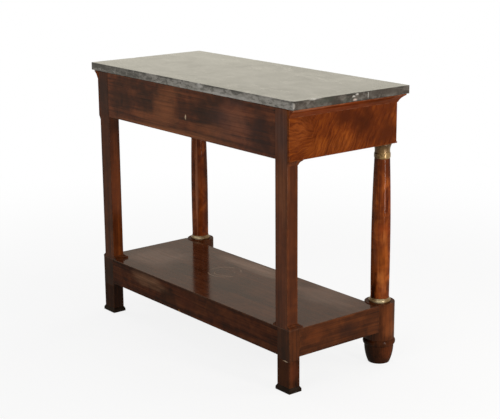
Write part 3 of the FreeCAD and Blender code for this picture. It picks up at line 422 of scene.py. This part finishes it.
class Shade(Tree):
    """One node material."""

    def __init__(self, name, seed=0):
        self.material = bpy.data.materials.new(name)
        self.material.use_nodes = True
        super().__init__(self.material.node_tree)
        self.shader = self.tree.nodes["Principled BSDF"]
        self.place = self.node("ShaderNodeTexCoord", {}, "Object")
        self.shifted = self.vector("ADD", self.place, [step * seed for step in SEED_STEP])

    def add(self, *values):
        return self.chain("ADD", values)

    def times(self, *values):
        return self.chain("MULTIPLY", values)

    def minus(self, first, second):
        return self.maths("SUBTRACT", first, second)

    def absolute(self, value):
        return self.maths("ABSOLUTE", value)

    def vector(self, operation, first, second):
        return self.node("ShaderNodeVectorMath", {0: first, 1: second}, operation=operation)

    def length(self, vector):
        return self.node("ShaderNodeVectorMath", {0: vector}, "Value", operation="LENGTH")

    def part(self, vector, axis):
        return self.node("ShaderNodeSeparateXYZ", {0: vector}, axis)

    def point(self, x, y):
        return self.node("ShaderNodeCombineXYZ", {0: x, 1: y})

    def noise(self, vector, scale=1.0, detail=4.0, roughness=0.5, distortion=0.0):
        return self.node("ShaderNodeTexNoise", {"Vector": vector, "Scale": scale, "Detail": detail,
                                                "Roughness": roughness, "Distortion": distortion})

    def fade(self, value, low, high, start=0.0, end=1.0):
        """A soft step from start to end as a value goes from low to high."""
        return self.node("ShaderNodeMapRange", {"Value": value, "From Min": low, "From Max": high,
                                                "To Min": start, "To Max": end},
                         interpolation_type="SMOOTHSTEP")

    def mix(self, share, first, second):
        """A colour between two colours."""
        return self.node("ShaderNodeMix", {0: share, 6: first, 7: second}, 2, data_type="RGBA",
                         clamp_factor=True)

    def ramp(self, value, places, colours):
        """Colours along a value, one at each place."""
        node = self.tree.nodes.new("ShaderNodeValToRGB")
        elements = node.color_ramp.elements
        while len(elements) < len(places):
            elements.new(1.0)
        for element, place, colour in zip(elements, places, colours):
            element.position = place
            element.color = colour
        self.join(value, node.inputs[0])
        return node.outputs[0]

    def bump(self, height, strength, distance):
        return self.node("ShaderNodeBump", {"Height": height, "Strength": strength, "Distance": distance})

    def finish(self, **inputs):
        """Sets the shader's inputs, with _ for a space in their names."""
        for name, value in inputs.items():
            self.join(value, self.shader.inputs[name.replace("_", " ")])
        return self.material


def streaks(shade, axis, size, detail, distortion=0.0):
    """Noise drawn out along an axis, in streaks of about that length and width."""
    length, width = size
    scale = [1 / width] * 3
    scale["XYZ".index(axis)] = 1 / length
    return shade.noise(shade.vector("MULTIPLY", shade.shifted, scale), detail=detail, roughness=0.6,
                       distortion=distortion)


def spot(shade, centre, reach):
    """A patch with an uneven outline, 1 in its middle and 0 at about its reach along each axis."""
    ragged = 1.1
    away = shade.vector("DIVIDE", shade.vector("SUBTRACT", shade.place, centre), reach)
    uneven = shade.node("ShaderNodeTexNoise", {"Vector": shade.vector("ADD", away, centre), "Scale": 1.6,
                                               "Detail": 4.0}, "Color")
    pushed = shade.vector("MULTIPLY", shade.vector("SUBTRACT", uneven, (0.5, 0.5, 0.5)), (ragged,) * 3)
    return shade.fade(shade.length(shade.vector("ADD", away, pushed)), 0.25, 1.0, 1.0, 0.0)


def marked(shade, colour, name, *shares):
    """A colour with the marks of a node laid over it, each multiplied by the shares."""
    for place, reach, tint, strength in MARKS.get(name, ()):
        colour = shade.mix(shade.times(spot(shade, place, reach), *shares, strength), colour, tint)
    return colour


def ring(shade, centre, radius, width):
    """A thin broken ring that lies flat, such as a glass leaves."""
    flat = shade.vector("MULTIPLY", shade.vector("SUBTRACT", shade.place, centre), (1, 1, 0))
    off_ring = shade.absolute(shade.minus(shade.length(flat), radius))
    broken = shade.fade(shade.noise(shade.shifted, scale=14.0, detail=2.0), 0.42, 0.58)
    return shade.times(shade.fade(off_ring, 0.0, width, 1.0, 0.0), broken)


def edge_distance(shade, low, high):
    """How far a point on a box is from the nearest edge of that box."""
    inside = shade.vector("MINIMUM", shade.vector("SUBTRACT", shade.place, low),
                          shade.vector("SUBTRACT", high, shade.place))
    x, y, z = (shade.part(inside, axis) for axis in "XYZ")
    return shade.maths("MAXIMUM", shade.maths("MINIMUM", x, y),
                       shade.maths("MINIMUM", shade.maths("MAXIMUM", x, y), z))


def long_axis(low, high):
    """The axis along which a box is longest."""
    sides = high - low
    return "XYZ"[max(range(3), key=lambda index: sides[index])]


def straight_grain(shade, axis, mottled=0.26):
    """Fine fibres in broader bands and mottle, as a tone about 0.5, and the fibres on their own."""
    fibrous = 0.34
    fibre = streaks(shade, axis, FIBRE, 6.0)
    band = streaks(shade, axis, BAND, 3.0, 0.7)
    mottle = shade.noise(shade.shifted, scale=26.0, detail=3.0, distortion=0.8)
    tone = shade.add(shade.times(fibre, fibrous), shade.times(band, 1 - fibrous - mottled),
                     shade.times(mottle, mottled))
    return tone, fibre


def flame_grain(shade, along, focus):
    """Crotch figure: rays that fan out from a focus, and leaning feathers on its other side."""
    broad_share = 0.16
    rise = shade.minus(shade.part(shade.place, "Z"), FOCUS_HEIGHT)
    run = shade.minus(along, focus)
    wobble = shade.minus(shade.noise(shade.shifted, scale=24.0, detail=3.0), 0.5)
    angle = shade.maths("ARCTAN2", rise, shade.absolute(run))
    reach = shade.maths("SQRT", shade.add(shade.times(rise, rise), shade.times(run, run)))
    turned = shade.add(angle, shade.times(wobble, 0.20))
    fan = shade.point(shade.times(turned, RAY_SCALE[0]), shade.times(reach, RAY_SCALE[1]))
    ray = shade.noise(fan, **FIGURE_NOISE)
    leaning = shade.add(run, shade.times(rise, FEATHER_LEAN), shade.times(wobble, 0.03))
    plume = shade.point(shade.times(leaning, FEATHER_SCALE[0]), shade.times(rise, FEATHER_SCALE[1]))
    feather = shade.noise(plume, **FIGURE_NOISE)
    share = shade.fade(shade.add(run, shade.times(wobble, 0.10)), 0.02, 0.09)
    blend = shade.add(shade.times(ray, share), shade.times(feather, shade.minus(1.0, share)))
    broad = shade.noise(shade.shifted, scale=15.0, detail=3.0, distortion=1.0)
    tone = shade.add(shade.times(blend, 1 - broad_share), shade.times(broad, broad_share))
    return tone, blend


def wood(name, seed, tones, gloss=0.15, polish=0.12, roughness=(0.34, 0.52), contrast=0.14, blotch=0.5,
         wear=0.35, rings=(), figure=None, axis=None):
    """Wood with figure, a blotchy stain, marks, pores and rubbed edges. Tones are its dark, middle, light
    and rubbed colours. A figure is a call that gives a tone and its fibres, in place of straight grain."""
    low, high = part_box(name)
    axis = axis or long_axis(low, high)
    dark, middle, light, rubbed = tones
    shade = Shade(name, seed)
    tone, fibre = figure(shade) if figure else straight_grain(shade, axis)
    stain = shade.noise(shade.shifted, scale=11.0, detail=4.0, roughness=0.55, distortion=0.4)
    pores = shade.fade(streaks(shade, axis, PORE, 1.0), 0.62, 0.72)
    colour = shade.ramp(tone, (0.50 - contrast, 0.50, 0.50 + contrast), (dark, middle, light))
    colour = shade.mix(shade.fade(stain, 0.46, 0.70, 0.0, blotch), colour, dark)
    colour = marked(shade, colour, name, shade.fade(fibre, 0.40, 0.60, 0.55, 1.10))
    for centre, radius, width, tint, strength in rings:
        colour = shade.mix(shade.times(ring(shade, centre, radius, width), strength), colour, tint)
    broken = shade.noise(shade.shifted, scale=60.0, detail=3.0)
    rub = shade.times(shade.fade(edge_distance(shade, low, high), *RUB_FADE, 1.0, 0.0),
                      shade.fade(broken, 0.42, 0.62), wear)
    colour = shade.mix(rub, colour, rubbed)
    colour = shade.mix(shade.times(pores, 0.35), colour, dark)
    height = shade.minus(shade.times(fibre, 0.5), shade.times(pores, 0.5))
    return shade.finish(Base_Color=colour, Roughness=shade.fade(stain, 0.3, 0.7, *roughness),
                        Normal=shade.bump(height, strength=0.12, distance=0.0004), Specular_IOR_Level=0.0,
                        Coat_Weight=gloss, Coat_Roughness=polish, Coat_IOR=1.5)


def mahogany(name, seed):
    """Straight mahogany, darker near the floor as painted shade. A turned foot has its grain upright."""
    tones, gloss, wear = next(kind[1:] for kind in MAHOGANY_KINDS if name.startswith(kind[0]))
    axis = "Z" if name.startswith("front_foot") else None
    return wood(name, seed, tones, gloss=gloss, wear=wear, axis=axis)


def stained_board(name, seed):
    """The stained boards of the back, duller on the plinth and darker there as painted shade."""
    tones, gloss = (SHADED_STAINED, 0.13) if name.startswith("plinth") else (STAINED, 0.28)
    return wood(name, seed, tones, gloss=gloss, polish=0.3, contrast=0.10, blotch=0.6)


def column_wood(name, seed):
    """Polished mahogany with upright grain and more mottle."""
    def mottled(shade):
        return straight_grain(shade, "Z", mottled=0.42)
    return wood(name, seed, COLUMN, gloss=0.17, polish=0.09, contrast=0.11, wear=0.0, figure=mottled)


def shelf_wood(name, seed):
    """The shelf's veneer, with the highest polish and ring stains."""
    return wood(name, seed, SHELF, gloss=0.41, polish=0.13, blotch=0.35, rings=SHELF_RINGS)


def pad_wood(name, seed):
    """Blackened wood of the pads under the back feet."""
    return wood(name, seed, PAD, gloss=0.1, polish=0.35)


def plain_wood(name, seed):
    """Bare pale wood of the drawer and the inside."""
    return wood(name, seed, PLAIN, gloss=0.0, roughness=(0.6, 0.75), blotch=0.35)


def flame(name, seed):
    """Flame veneer: one fan on each end, and a matched pair on the front."""
    def on_end(shade):
        return flame_grain(shade, shade.part(shade.place, "Y"), FOCUS_ON_END)

    def on_front(shade):
        return flame_grain(shade, shade.absolute(shade.part(shade.place, "X")), FOCUS_ON_FRONT)
    figure = on_end if name.startswith("frieze_facing") else on_front
    return wood(name, seed, FLAME, gloss=0.12, blotch=0.25, figure=figure)


def veined_stone(shade, bedded, cloud, on_edge):
    """The body of the marble: a grey ground, paler clouds, broken veins and flecks."""
    ground = shade.noise(bedded, scale=15.0, detail=9.0, roughness=0.66, distortion=0.25)
    colour = shade.ramp(ground, (0.34, 0.50, 0.66), STONE)
    region = shade.noise(bedded, scale=4.0, detail=3.0, distortion=0.4)
    pale = shade.fade(shade.add(cloud, shade.times(region, 0.4)), 0.66, 0.86)
    colour = shade.mix(shade.times(pale, shade.fade(on_edge, 0.0, 1.0, 0.45, 0.85)), colour, STONE_CLOUD)
    broken = shade.fade(shade.noise(bedded, scale=22.0, detail=4.0, roughness=0.6), 0.40, 0.62)
    for scale, width, strength in VEINS:
        vein = shade.noise(bedded, scale, detail=5.0, roughness=0.55, distortion=0.6)
        off_vein = shade.absolute(shade.minus(vein, 0.5))
        line = shade.times(shade.fade(off_vein, 0.0, width, strength, 0.0), broken)
        colour = shade.mix(line, colour, STONE_VEIN)
    fleck = shade.noise(shade.shifted, scale=170.0, detail=2.0)
    return shade.mix(shade.fade(fleck, 0.64, 0.74, 0.0, 0.4), colour, STONE_FLECK)


def marble(name, seed):
    """Dark grey marble, mottled and duller on its edges, with painted light on its back edge."""
    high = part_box(name)[1]
    shade = Shade(name, seed)
    x, y, z = (shade.part(shade.place, axis) for axis in "XYZ")
    to_top = shade.minus(high.z, z)
    to_back = shade.minus(high.y, y)
    to_end = shade.minus(high.x, shade.absolute(x))
    on_edge = shade.fade(to_top, 0.0, STONE_SKIN)
    bedded = shade.vector("MULTIPLY", shade.shifted, STONE_BED)
    cloud = shade.noise(bedded, scale=30.0, detail=6.0, roughness=0.62, distortion=0.5)
    colour = veined_stone(shade, bedded, cloud, on_edge)
    # Painted light on the back edge, strongest towards the left-hand end
    back_light = shade.times(shade.fade(to_back, *BACK_FADE, 1.0, 0.0), shade.fade(x, -0.05, 0.30, 0.72, 0.15))
    colour = shade.mix(back_light, colour, STONE_BACK_LIGHT)
    mottle = shade.noise(shade.vector("MULTIPLY", shade.shifted, MOTTLE_SCALE), detail=7.0, roughness=0.68,
                         distortion=0.4)
    dark_mottle, pale_mottle = STONE_MOTTLE
    colour = shade.mix(shade.times(on_edge, shade.fade(mottle, 0.40, 0.52, 0.70, 0.0)), colour, dark_mottle)
    colour = shade.mix(shade.times(on_edge, shade.fade(mottle, 0.54, 0.66, 0.0, 0.55)), colour, pale_mottle)
    colour = shade.mix(shade.fade(to_end, *END_FADE, 0.72, 0.0), colour, STONE_ON_END)
    arris = shade.times(on_edge, shade.fade(to_top, *ARRIS_FADE, 0.80, 0.0),
                        shade.fade(cloud, 0.40, 0.58, 1.0, 0.2))
    colour = shade.mix(arris, colour, STONE_ARRIS)
    colour = marked(shade, colour, name, shade.fade(cloud, 0.35, 0.55, 0.5, 1.0))
    smudge = shade.noise(shade.shifted, scale=6.0, detail=4.0, roughness=0.6)
    return shade.finish(Base_Color=colour, Roughness=shade.fade(smudge, 0.35, 0.7, 0.10, 0.22),
                        Coat_Weight=shade.fade(on_edge, 0.0, 1.0, 0.36, 0.12), Coat_Roughness=0.14,
                        Coat_IOR=1.5, Specular_IOR_Level=0.28,
                        Normal=shade.bump(shade.times(cloud, 0.4), strength=0.05, distance=0.0005))


def capital_shading(shade, colour, name):
    """The brass of a capital, with painted shade towards the middle of the table and above its band."""
    low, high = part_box(name)
    middle, radius = abs(low.x + high.x) / 2, (high.x - low.x) / 2
    outward = shade.minus(shade.absolute(shade.part(shade.place, "X")), middle)
    above = shade.minus(shade.part(shade.place, "Z"), low.z)
    inner = shade.fade(outward, -0.4 * radius, 0.6 * radius, 0.75, 0.0)
    colour = shade.mix(inner, colour, BRASS_IN_SHADE)
    colour = shade.mix(shade.fade(above, *BAND_END, 0.0, 0.50), colour, BRASS_SHADE_OVER_BAND)
    return shade.mix(shade.fade(above, *CAPITAL_DARKENS, 0.0, 0.70), colour, BRASS_SHADE_AT_TOP)


def brass(name, seed):
    """Dull old brass. A base ring is browner than a capital, with a painted highlight in places."""
    shade = Shade(name, seed)
    grain = shade.noise(shade.vector("MULTIPLY", shade.shifted, BRASS_SCALE), detail=5.0, roughness=0.6)
    tarnish = shade.noise(shade.shifted, scale=60.0, detail=4.0, roughness=0.6)
    colour = shade.ramp(grain, (0.30, 0.52, 0.74), BRASS)
    colour = shade.mix(shade.fade(tarnish, 0.46, 0.66, 0.0, 0.5), colour, BRASS_TARNISH)
    if name.startswith("column_capital"):
        colour = capital_shading(shade, colour, name)
    else:
        # A base ring: browner all over, with the painted highlight of its marks.
        colour = marked(shade, shade.mix(0.45, colour, BRASS_RING), name)
    return shade.finish(Base_Color=colour, Roughness=shade.fade(tarnish, 0.35, 0.7, 0.24, 0.40),
                        Metallic=0.3, Specular_IOR_Level=0.3,
                        Normal=shade.bump(grain, strength=0.10, distance=0.0003))


FINISHES = {
    "marble": marble,
    "flame_veneer": flame,
    "stained_back": stained_board,
    "polished_column": column_wood,
    "polished_shelf": shelf_wood,
    "polished_mahogany": mahogany,
    "dark_pad": pad_wood,
    "aged_brass": brass,
    "drawer_wood": plain_wood,
    "secondary_wood": plain_wood,
}


def noise_at(place, scale, seed):
    """Noise at a place in the plane of the slab."""
    return noise.noise((place[0] * scale, place[1] * scale, seed))


def wear_depth(place, seed):
    """How far an arris is worn back at a place on the slab's outline."""
    fine = noise_at(place, WEAR_NOISE, seed)
    coarse = noise_at(place, NICK_NOISE, seed + 7)
    return SLAB_WEAR * (1 + 0.5 * fine) + SLAB_NICK * max(0.0, coarse - NICK_LIMIT) * (1 + fine)


def chip_depth(place):
    """How much deeper the chips go at a place on the slab's outline."""
    depth = 0.0
    for centre, half, deepest in SLAB_CHIPS:
        share = max(0.0, 1 - (math.dist(place, centre) / half) ** 2)
        depth += deepest * share
    return depth * (0.75 + 0.5 * noise_at(place, CHIP_NOISE, seed=3))


def slab_outline(low, high):
    """Points round the slab, corner to corner, about one step apart."""
    corners = ((low.x, low.y), (high.x, low.y), (high.x, high.y), (low.x, high.y))
    points = []
    for index, (x0, y0) in enumerate(corners):
        x1, y1 = corners[(index + 1) % len(corners)]
        steps = round(max(abs(x1 - x0), abs(y1 - y0)) / SLAB_STEP)
        for step in range(steps):
            share = step / steps
            points.append((x0 + (x1 - x0) * share, y0 + (y1 - y0) * share))
    return points


def arris_rings(outline, depths, low, high, face, inward):
    """Rings of points round one arris, from the flat face at a height to the upright side. Inward is 1 or
    -1, for the way from that face into the slab."""
    rings = []
    for across, along in ARRIS_PROFILE:
        points = []
        for (x, y), depth in zip(outline, depths):
            inset = across * depth
            points.append((min(max(x, low.x + inset), high.x - inset),
                           min(max(y, low.y + inset), high.y - inset),
                           face + inward * along * depth))
        rings.append(points)
    return rings


def worn_slab(name):
    """The marble slab with its arrises worn and chipped, in place of the sharp one."""
    low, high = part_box(name)
    outline = slab_outline(low, high)
    upper = [wear_depth(place, seed=1) + chip_depth(place) for place in outline]
    lower = [wear_depth(place, seed=2) for place in outline]
    rings = arris_rings(outline, upper, low, high, high.z, -1)
    rings += reversed(arris_rings(outline, lower, low, high, low.z, 1))
    mesh = bmesh.new()
    loops = [[mesh.verts.new(point) for point in points] for points in rings]
    count = len(outline)
    for above, below in zip(loops, loops[1:]):
        for index in range(count):
            after = (index + 1) % count
            mesh.faces.new((above[index], below[index], below[after], above[after]))
    mesh.faces.new(loops[0])
    mesh.faces.new(reversed(loops[-1]))
    bmesh.ops.remove_doubles(mesh, verts=mesh.verts, dist=0.00001)
    bmesh.ops.recalc_face_normals(mesh, faces=mesh.faces)
    data = bpy.data.meshes.new("worn_slab")
    mesh.to_mesh(data)
    mesh.free()
    slab = bpy.data.objects.new("worn_slab", data)
    bpy.context.scene.collection.objects.link(slab)
    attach(slab, "frame")
    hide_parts(name)
    return slab


def dress_nodes():
    """Gives every node the finish of its slot, with a grain of its own, and adds the worn slab."""
    for seed, subpart in enumerate(frame["record"]["subparts"], start=1):
        name, slot = subpart["node"], subpart["material_slot"]
        material = FINISHES[slot](name, seed)
        pieces = [frame["nodes"][name]]
        if slot == "marble":
            pieces.append(worn_slab(name))
        for piece in pieces:
            piece.data.materials.clear()
            piece.data.materials.append(material)


def make_camera():
    """The camera at its place, turned by its heading, pitch and roll."""
    camera = bpy.data.cameras.new("camera")
    camera.lens = CAMERA_LENS
    camera.clip_end = 2 * FLOOR_SIZE
    holder = bpy.data.objects.new("camera", camera)
    holder.matrix_world = (Matrix.Translation(CAMERA_PLACE)
                           @ Matrix.Rotation(-CAMERA_HEADING, 4, "Z")
                           @ Matrix.Rotation(math.pi / 2 + CAMERA_PITCH, 4, "X")
                           @ Matrix.Rotation(CAMERA_ROLL, 4, "Z"))
    bpy.context.scene.collection.objects.link(holder)
    bpy.context.scene.camera = holder


def make_lamp(name, place, aim, width, height, watts, tint, mirrored):
    """A softbox that points at a place. Only a mirrored one shows as a highlight on polish."""
    lamp = bpy.data.lights.new(name, "AREA")
    lamp.shape = "RECTANGLE"
    lamp.size = width
    lamp.size_y = height
    lamp.energy = watts
    lamp.color = tint
    holder = bpy.data.objects.new(name, lamp)
    holder.location = place
    holder.rotation_euler = (Vector(aim) - Vector(place)).to_track_quat("-Z", "Y").to_euler()
    holder.visible_glossy = mirrored
    bpy.context.scene.collection.objects.link(holder)


def make_world():
    """White where it is seen, a warm white wall in reflections, and a soft even light for the object."""
    world = bpy.data.worlds.new("studio")
    bpy.context.scene.world = world
    world.use_nodes = True
    sky = Tree(world.node_tree)

    def background(colour, strength=1.0):
        return sky.node("ShaderNodeBackground", {"Color": colour, "Strength": strength})

    shown = sky.either(sky.rays(REFLECTED_RAYS), background(WHITE), background(WALL))
    surface = sky.either(sky.rays(BACKGROUND_RAYS), background(WHITE, SKY_FOR_OBJECT), shown)
    sky.join(surface, sky.tree.nodes["World Output"].inputs["Surface"])


def make_floor():
    """A pale floor: white with a faint shadow where it is seen, and a grey bounce for the object."""
    half = FLOOR_SIZE / 2
    corners = [(-half, -half, 0), (half, -half, 0), (half, half, 0), (-half, half, 0)]
    mesh = bpy.data.meshes.new("floor")
    mesh.from_pydata(corners, [], [(0, 1, 2, 3)])
    floor = bpy.data.objects.new("floor", mesh)
    bpy.context.scene.collection.objects.link(floor)
    shade = Shade("floor")
    shade.tree.nodes.remove(shade.shader)
    far = shade.fade(shade.length(shade.place), *FLOOR_FADE, FLOOR_GLOW, 1.0)
    lit = shade.node("ShaderNodeBsdfDiffuse", {"Color": FLOOR_SEEN})
    glow = shade.node("ShaderNodeEmission", {"Color": WHITE, "Strength": 1.0})
    mirrored = shade.node("ShaderNodeEmission", {"Color": WALL, "Strength": 1.0})
    bounce = shade.node("ShaderNodeBsdfDiffuse", {"Color": FLOOR_BOUNCE})
    shown = shade.either(shade.rays(REFLECTED_RAYS), shade.either(far, lit, glow), mirrored)
    surface = shade.either(shade.rays(BACKGROUND_RAYS), bounce, shown)
    shade.join(surface, shade.tree.nodes["Material Output"].inputs["Surface"])
    mesh.materials.append(shade.material)


dress_nodes()
make_camera()
for lamp_row in LAMPS:
    make_lamp(*lamp_row)
make_world()
make_floor()
bpy.context.scene.view_settings.view_transform = "Standard"
